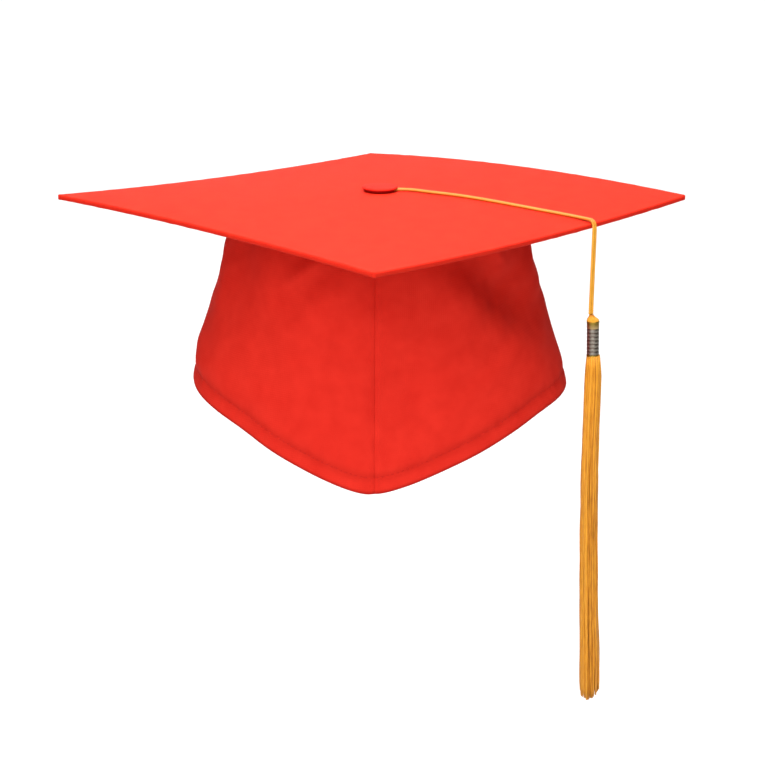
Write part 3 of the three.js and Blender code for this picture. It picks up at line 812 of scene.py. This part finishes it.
def spun(name, profile, sides):
    """A round piece about Z, spun from a profile of (radius, height) pairs, its normals outwards."""
    bpy.ops.object.select_all(action="DESELECT")
    mesh = bpy.data.meshes.new(name)
    edges = [(i, i + 1) for i in range(len(profile) - 1)]
    mesh.from_pydata([(radius, 0, height) for radius, height in profile], edges, [])
    piece = bpy.data.objects.new(name, mesh)
    bpy.context.collection.objects.link(piece)
    bpy.context.view_layer.objects.active = piece
    piece.select_set(True)
    bpy.ops.object.mode_set(mode="EDIT")
    bpy.ops.mesh.select_all(action="SELECT")
    bpy.ops.mesh.spin(steps=sides, angle=2 * math.pi, center=(0, 0, 0), axis=(0, 0, 1))
    bpy.ops.mesh.select_all(action="SELECT")
    bpy.ops.mesh.remove_doubles(threshold=1e-6)
    bpy.ops.mesh.normals_make_consistent(inside=False)
    bpy.ops.object.mode_set(mode="OBJECT")
    return piece


button_curve = smooth_line(
    [(radius, 0, height) for radius, height in BUTTON_SECTION], BUTTON_SECTION_SPACING
)
button = spun("button_covered", button_curve[:, [0, 2]].tolist(), BUTTON_SIDES)
button_points = get_points(button)
button_angle = np.arctan2(button_points[:, 1], button_points[:, 0])
gathered = 1 - smooth_step(-BUTTON_GATHER_FADE, BUTTON_GATHER_FADE, button_points[:, 2])
button_share = np.hypot(button_points[:, 0], button_points[:, 1]) / BUTTON_RADIUS
spread_out = smooth_step(*BUTTON_GATHER_SPREAD, button_share)
pleat = ripple(button_angle, [2 * math.pi / count for count in BUTTON_GATHERS], 4)
button_points[:, :2] *= (1 + BUTTON_GATHER_DEPTH / BUTTON_RADIUS * pleat * gathered * spread_out)[:, None]
from_arch = np.abs(np.degrees(button_angle) - BUTTON_ARCH_ANGLE)
hangs = smooth_step(BUTTON_ARCH_FLAT_ANGLE, BUTTON_ARCH_END_ANGLE, from_arch)
button_points[:, 2] *= np.where(button_points[:, 2] < 0, hangs, 1)
button_points += (BUTTON_X, BUTTON_Y, BOARD_THICKNESS + BUTTON_STAND)
set_points(button, button_points)
# Painted shade: the cloth gathered in under the edge is drawn a deeper red.
mark_points(button, "painted_shade", gathered * spread_out)
bpy.ops.object.shade_smooth()
add_cloth_map(button, button_points[:, 0] + button_points[:, 1], button_points[:, 1] - button_points[:, 0])
button.data.materials.append(red_poplin("red_poplin_button", "#cc2416", "#be1b11", 0.07))
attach(button, "root")
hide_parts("button")
bpy.data.objects["button_shank"].data.materials.clear()
bpy.data.objects["button_shank"].data.materials.append(sewing_thread)


# Tassel barrel: a thin sleeve pressed from silvery metal, with a plain bronze-tinted collar, a row
# of rounded ribs below it and a dull rolled ring at each end. It is slid over the tassel's neck.
TASSEL_TOP = (0.1142, -0.0586, -0.0504)
TASSEL_LEAN = math.radians(1.6)
HEAD_DEPTH = 0.0030
BARREL_TOP = HEAD_DEPTH + 0.0003
BARREL_LENGTH = 0.019
BARREL_RADIUS = 0.0032
BARREL_BORE_RADIUS = 0.0025
BARREL_RING_HEIGHT = 0.0009
BARREL_RING_PROUD = 0.00015
BARREL_RING_SINK = 0.0001
BARREL_RING_STEPS = 8
BARREL_BORE_LIP = 0.0001
BARREL_COLLAR_LENGTH = 0.0040
BARREL_RIBS = 7
BARREL_RIB_DEPTH = 0.00022
BARREL_RIB_STEPS = 10
BARREL_RIB_FULLNESS = 0.7
BARREL_SHOULDER = 0.00025
BARREL_SIDES = 48
BARREL_SMOOTH_ANGLE = 60
# How sharply the tints of the rings and the collar end.
BARREL_RING_FADE = 0.00012
BARREL_COLLAR_FADE = 0.0002
TARNISH_SPACING = 0.0016


def hang_on_tassel(points):
    """Places given below the head's top, along the tassel's own axis, as places in the row frame."""
    x, y, z = points[..., 0], points[..., 1], points[..., 2]
    lean_cos, lean_sin = math.cos(TASSEL_LEAN), math.sin(TASSEL_LEAN)
    leaned = np.stack([x * lean_cos - z * lean_sin, y, x * lean_sin + z * lean_cos], axis=-1)
    return leaned + np.array(TASSEL_TOP)


def rolled_ring(foot):
    """Outline of a rolled ring, up from its foot: radius and height."""
    turns = [math.pi * step / BARREL_RING_STEPS for step in range(1, BARREL_RING_STEPS)]
    roll = BARREL_RING_PROUD + BARREL_RING_SINK
    return [
        (ring_middle + roll * math.sin(turn), foot + BARREL_RING_HEIGHT * (0.5 - 0.5 * math.cos(turn)))
        for turn in turns
    ]


barrel_foot = -BARREL_TOP - BARREL_LENGTH
ribs_foot = barrel_foot + BARREL_RING_HEIGHT
ribs_top = -BARREL_TOP - BARREL_COLLAR_LENGTH
rib_pitch = (ribs_top - ribs_foot) / BARREL_RIBS
collar_top = -BARREL_TOP - BARREL_RING_HEIGHT
ring_middle = BARREL_RADIUS - BARREL_RING_SINK
bore_foot = (BARREL_BORE_RADIUS, barrel_foot + BARREL_BORE_LIP)
barrel_profile = [bore_foot, (ring_middle, barrel_foot), *rolled_ring(barrel_foot)]
for step in range(BARREL_RIBS * BARREL_RIB_STEPS):
    phase = step / BARREL_RIB_STEPS
    swell = abs(math.sin(math.pi * phase)) ** BARREL_RIB_FULLNESS
    barrel_profile.append((
        BARREL_RADIUS - BARREL_RIB_DEPTH * (1 - swell), ribs_foot + phase * rib_pitch,
    ))
barrel_profile.append((BARREL_RADIUS - BARREL_RIB_DEPTH, ribs_top))
barrel_profile.append((BARREL_RADIUS, ribs_top + BARREL_SHOULDER))
barrel_profile.append((BARREL_RADIUS, collar_top))
barrel_profile += [*rolled_ring(collar_top), (BARREL_BORE_RADIUS, -BARREL_TOP), bore_foot]
barrel = spun("barrel_ribbed", barrel_profile, BARREL_SIDES)
barrel_points = get_points(barrel)
barrel_radius = np.hypot(barrel_points[:, 0], barrel_points[:, 1])
on_ring = np.maximum(
    1 - smooth_step(0, BARREL_RING_FADE, barrel_points[:, 2] - ribs_foot),
    smooth_step(-BARREL_RING_FADE, 0, barrel_points[:, 2] - collar_top),
)
on_collar = smooth_step(ribs_top, ribs_top + BARREL_COLLAR_FADE, barrel_points[:, 2])
in_groove = np.clip((BARREL_RADIUS - barrel_radius) / BARREL_RIB_DEPTH, 0, 1)
for mark, values in (("ring", on_ring), ("collar", on_collar), ("groove", in_groove)):
    mark_points(barrel, mark, values)
set_points(barrel, hang_on_tassel(barrel_points))
bpy.ops.object.shade_smooth_by_angle(angle=math.radians(BARREL_SMOOTH_ANGLE))

# Plated steel: a bright but slightly tarnished silver on the ribs, darker in the grooves between them,
# warmer on the collar and a dull olive brass on the rolled rings.
plated_steel = new_material("tarnished_plated_steel")
tarnish = add_noise(plated_steel, TARNISH_SPACING, 4.0)
groove_and_tarnish = add_scaled(plated_steel, read_mark(plated_steel, "groove"), 0.35, tarnish)
tint = add_ramp(plated_steel, groove_and_tarnish, [(0.1, "#938d82"), (0.5, "#797067"), (0.9, "#5a4f46")])
for mark, colour in (("collar", "#a58d63"), ("ring", "#8a7430")):
    tinted = add_node(
        plated_steel,
        "ShaderNodeMix",
        {"data_type": "RGBA", 7: linear(colour)},
        {0: read_mark(plated_steel, mark), 6: tint},
    )
    tint = tinted.outputs[2]
polish = add_node(plated_steel, "ShaderNodeMapRange", {"To Min": 0.38, "To Max": 0.55}, {"Value": tarnish})
add_surface(
    plated_steel, {"Metallic": 1.0}, {"Base Color": tint, "Roughness": polish.outputs["Result"]}
)
barrel.data.materials.append(plated_steel)
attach(barrel, "root")
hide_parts("tassel_barrel")


# Tassel: a skein of gold rayon threads folded over the cord's ends, which makes the small cone
# head, bound by the barrel and cut off below, so the threads hang as a fringe with a ragged end.
THREAD_RADIUS = 0.0004
THREAD_SIDES = 6
THREAD_COUNT = 210
THREAD_STEPS = 34
THREAD_TURN = math.pi * (3 - math.sqrt(5))
THREAD_END_TAPER = 0.6
THREAD_FIBRE_SPACING = 0.0012
THREAD_FIBRE_STRETCH = (1.0, 1.0, 0.2)
# A thread's own sway: how far, the drop over which it grows, and the lengths of its waves both ways.
THREAD_SWAY = 0.0004
THREAD_SWAY_DROP = 0.06
THREAD_WANDER_LENGTHS = (0.047, 0.083, 0.131)
THREAD_DRIFT_LENGTHS = (0.039, 0.071, 0.117)
FRINGE_TOP = BARREL_TOP + BARREL_LENGTH
FRINGE_TUCK = 0.0004
FRINGE_LENGTH = 0.1982
FRINGE_RAGGED = 0.0008
# The fringe on its way down: drop below the barrel, radius, and how far it sways to the right.
FRINGE_PROFILE = [
    (0.000, 0.0036, 0.0003),
    (0.003, 0.0040, 0.0003),
    (0.012, 0.0046, 0.0003),
    (0.060, 0.0047, -0.0013),
    (0.110, 0.0050, -0.0013),
    (0.150, 0.0053, -0.0012),
    (0.178, 0.0058, -0.0006),
    (0.200, 0.0056, -0.0004),
]
HEAD_RADIUS = 0.0031
HEAD_APEX_ASIDE = -0.0011
HEAD_THREADS = 22
HEAD_THREAD_SWELL = 1.1
HEAD_THREAD_SPACING = 0.0005
# A thread of the head rises out of the barrel and runs up the cone to the fold at its top: share of
# the head's radius, and height below its top.
HEAD_RISE = [(0.72, -0.0055), (0.86, -0.0038), (0.92, -0.0030), (0.68, -0.0021), (0.42, -0.0012), (0.2, 0.0)]
# Shade on the head: pale where the cone faces the light, and dark in the fold at its top.
HEAD_SHADE_HEIGHTS = (-0.0025, -0.0010, 0.0)
HEAD_SHADES = (-3, 0, 4)
# How far the threads gather towards the middle of their lock, and the drop where that begins and ends.
LOCK_GATHER = 0.2
LOCK_GATHER_DROP = (0.02, 0.16)
# Locks of thread round the tassel: the angle where each lies, and how much shorter it hangs.
LOCKS = [
    (0, 0.0050),
    (42, 0.0050),
    (80, 0.0035),
    (122, 0.0030),
    (160, 0.0020),
    (200, 0.0015),
    (240, 0.0002),
    (282, 0.0012),
    (322, 0.0042),
]

profile_drop, profile_radius, profile_sway = np.array(FRINGE_PROFILE).T
lock_angles, lock_shorter = np.array(LOCKS).T
thread_dice = np.random.default_rng(21)
thread_tubes, thread_tones, thread_shades = [], [], []
for number in range(THREAD_COUNT):
    share = math.sqrt((number + 0.5) / THREAD_COUNT)
    angle = number * THREAD_TURN
    to_locks = (lock_angles - math.degrees(angle) + 180) % 360 - 180
    to_lock = to_locks[np.argmin(np.abs(to_locks))]
    shorter = np.interp(math.degrees(angle), lock_angles, lock_shorter, period=360)
    length = FRINGE_LENGTH - shorter - abs(thread_dice.normal()) * FRINGE_RAGGED
    drop = np.linspace(0, length, THREAD_STEPS)
    reach = np.interp(drop, profile_drop, profile_radius) - THREAD_RADIUS
    turn = angle + math.radians(to_lock) * LOCK_GATHER * smooth_step(*LOCK_GATHER_DROP, drop)
    sway = THREAD_SWAY * share * smooth_step(0, THREAD_SWAY_DROP, drop)
    wander = ripple(drop, THREAD_WANDER_LENGTHS, 100 + number)
    drift = ripple(drop, THREAD_DRIFT_LENGTHS, 900 + number)
    line = np.stack([
        reach * share * np.cos(turn) + sway * wander + np.interp(drop, profile_drop, profile_sway),
        reach * share * np.sin(turn) + sway * drift,
        -FRINGE_TOP + FRINGE_TUCK - drop,
    ], axis=-1)
    taper = np.ones(THREAD_STEPS)
    taper[-1] = THREAD_END_TAPER
    radius = THREAD_RADIUS * taper[:, None] * np.ones((1, THREAD_SIDES))
    thread_tubes.append(rings_round(hang_on_tassel(line), radius))
    thread_tones.append(np.full(radius.shape, thread_dice.uniform(0, 1)))
    thread_shades.append(np.broadcast_to((drop / FRINGE_LENGTH)[:, None], radius.shape))
fringe = tube_object("fringe_threads", thread_tubes, {"tone": thread_tones, "shade": thread_shades})

head_tubes, head_tones, head_shades = [], [], []
for number in range(HEAD_THREADS):
    angle = 2 * math.pi * number / HEAD_THREADS
    rise = [
        (
            HEAD_RADIUS * out * math.cos(angle) + HEAD_APEX_ASIDE * (1 - out),
            HEAD_RADIUS * out * math.sin(angle),
            height,
        )
        for out, height in HEAD_RISE
    ]
    line = smooth_line(rise, HEAD_THREAD_SPACING)
    shade = np.interp(line[:, 2], HEAD_SHADE_HEIGHTS, HEAD_SHADES)
    radius = np.full((len(line), THREAD_SIDES), HEAD_THREAD_SWELL * THREAD_RADIUS)
    head_tubes.append(rings_round(hang_on_tassel(line), radius))
    head_tones.append(np.full(radius.shape, thread_dice.uniform(0.3, 1)))
    head_shades.append(np.broadcast_to(shade[:, None], radius.shape))
head = tube_object("tassel_head_threads", head_tubes, {"tone": head_tones, "shade": head_shades})

# Rayon thread: a silky fibre with a soft long highlight, each thread a slightly different gold,
# deeper towards the cut end and in the head's fold, where less light gets between the threads.
rayon_thread = new_material("gold_rayon_thread")
fibre = add_noise(rayon_thread, THREAD_FIBRE_SPACING, 3.0, THREAD_FIBRE_STRETCH)
uneven = add_scaled(rayon_thread, fibre, 0.6, read_mark(rayon_thread, "tone"))
deeper = add_scaled(rayon_thread, uneven, -0.1, read_mark(rayon_thread, "shade"))
gold = add_ramp(rayon_thread, deeper, [(0.2, "#96580a"), (0.6, "#bb7718"), (1.0, "#d29127")])
add_surface(
    rayon_thread,
    {"Roughness": 0.5, "Specular IOR Level": 0.25},
    {"Base Color": gold, "Normal": add_bump(rayon_thread, 0.25, fibre)},
)
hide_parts("tassel_fringe")
for threads in (fringe, head):
    threads.data.materials.append(rayon_thread)
    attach(threads, "root")


# Studio: a sheet of white paper that runs back under the hanging tassel and curves up behind it.
# Softboxes stand to the left, in front, above and behind, with a little even light all round.
FLOOR_HEIGHT = -0.42
FLOOR_WIDTH = 12
FLOOR_BACK = 2.2
FLOOR_CURVE = 0.9
FLOOR_CURVE_STEPS = 16
FLOOR_NEARNESS = 0.01
BACKDROP_HEIGHT = 3
SKY_STRENGTH = 0.04
# Softboxes round the cap: turn to the left of the front and height in degrees, distance, size, power.
SOFTBOX_AIM = (0.0, -0.02, -0.05)
SOFTBOXES = {
    "key": (25, 28, 1.6, 0.7, 9.2),
    "front": (0, 22, 1.6, 1.2, 17),
    "top": (0, 80, 0.6, 0.7, 11),
}
# Softboxes behind the cap, for the paper: place, what it points at, size and power.
BACK_SOFTBOXES = {
    "back_high": ((0, 1.1, 1.3), (0, 1.5, FLOOR_HEIGHT), 2.0, 22),
    "back_low": ((0, 1.7, 0.9), (0, 2.0, FLOOR_HEIGHT), 1.6, 8),
}


def select_points(piece, test):
    """In edit mode, leaves only those points selected whose place passes the test."""
    bpy.ops.mesh.select_all(action="DESELECT")
    bpy.ops.object.mode_set(mode="OBJECT")
    for vertex in piece.data.vertices:
        vertex.select = test(vertex.co)
    bpy.ops.object.mode_set(mode="EDIT")


bpy.ops.object.select_all(action="DESELECT")
bpy.ops.mesh.primitive_plane_add(size=FLOOR_WIDTH, location=(0, FLOOR_BACK - FLOOR_WIDTH / 2, FLOOR_HEIGHT))
floor = bpy.context.object
floor.name = "floor"
bpy.ops.object.transform_apply(location=True, rotation=True, scale=True)
bpy.ops.object.mode_set(mode="EDIT")
bpy.ops.mesh.select_mode(type="VERT")
select_points(floor, lambda place: place.y > FLOOR_BACK - FLOOR_NEARNESS)
bpy.ops.mesh.extrude_region_move(TRANSFORM_OT_translate={"value": (0, 0, BACKDROP_HEIGHT)})
select_points(
    floor,
    lambda place: place.y > FLOOR_BACK - FLOOR_NEARNESS and place.z < FLOOR_HEIGHT + FLOOR_NEARNESS,
)
bpy.ops.mesh.bevel(offset=FLOOR_CURVE, segments=FLOOR_CURVE_STEPS, affect="EDGES")
bpy.ops.object.mode_set(mode="OBJECT")
bpy.ops.object.shade_smooth()

# Studio paper: a matt white that shows only the soft falling off of the light.
white_paper = new_material("white_studio_paper")
add_surface(
    white_paper, {"Base Color": linear("#f4f4f4"), "Roughness": 0.9, "Specular IOR Level": 0.1}
)
floor.data.materials.append(white_paper)


def add_softbox(name, place, aim, size, power):
    """A square softbox that points at its aim and doesn't show in the picture itself."""
    direction = Vector(aim) - Vector(place)
    bpy.ops.object.light_add(
        type="AREA", location=place, rotation=direction.to_track_quat("-Z", "Y").to_euler()
    )
    softbox = bpy.context.object
    softbox.name = name
    softbox.data.size = size
    softbox.data.energy = power
    softbox.visible_camera = False


for name, (turn, height, distance, size, power) in SOFTBOXES.items():
    turn, height = math.radians(turn), math.radians(height)
    towards = (-math.sin(turn) * math.cos(height), -math.cos(turn) * math.cos(height), math.sin(height))
    add_softbox(name, Vector(SOFTBOX_AIM) + distance * Vector(towards), SOFTBOX_AIM, size, power)
for name, (place, aim, size, power) in BACK_SOFTBOXES.items():
    add_softbox(name, place, aim, size, power)
sky = bpy.data.worlds.new("studio_sky")
sky.use_nodes = True
sky.node_tree.nodes["Background"].inputs["Color"].default_value = (1.0, 1.0, 1.0, 1.0)
sky.node_tree.nodes["Background"].inputs["Strength"].default_value = SKY_STRENGTH
bpy.context.scene.world = sky
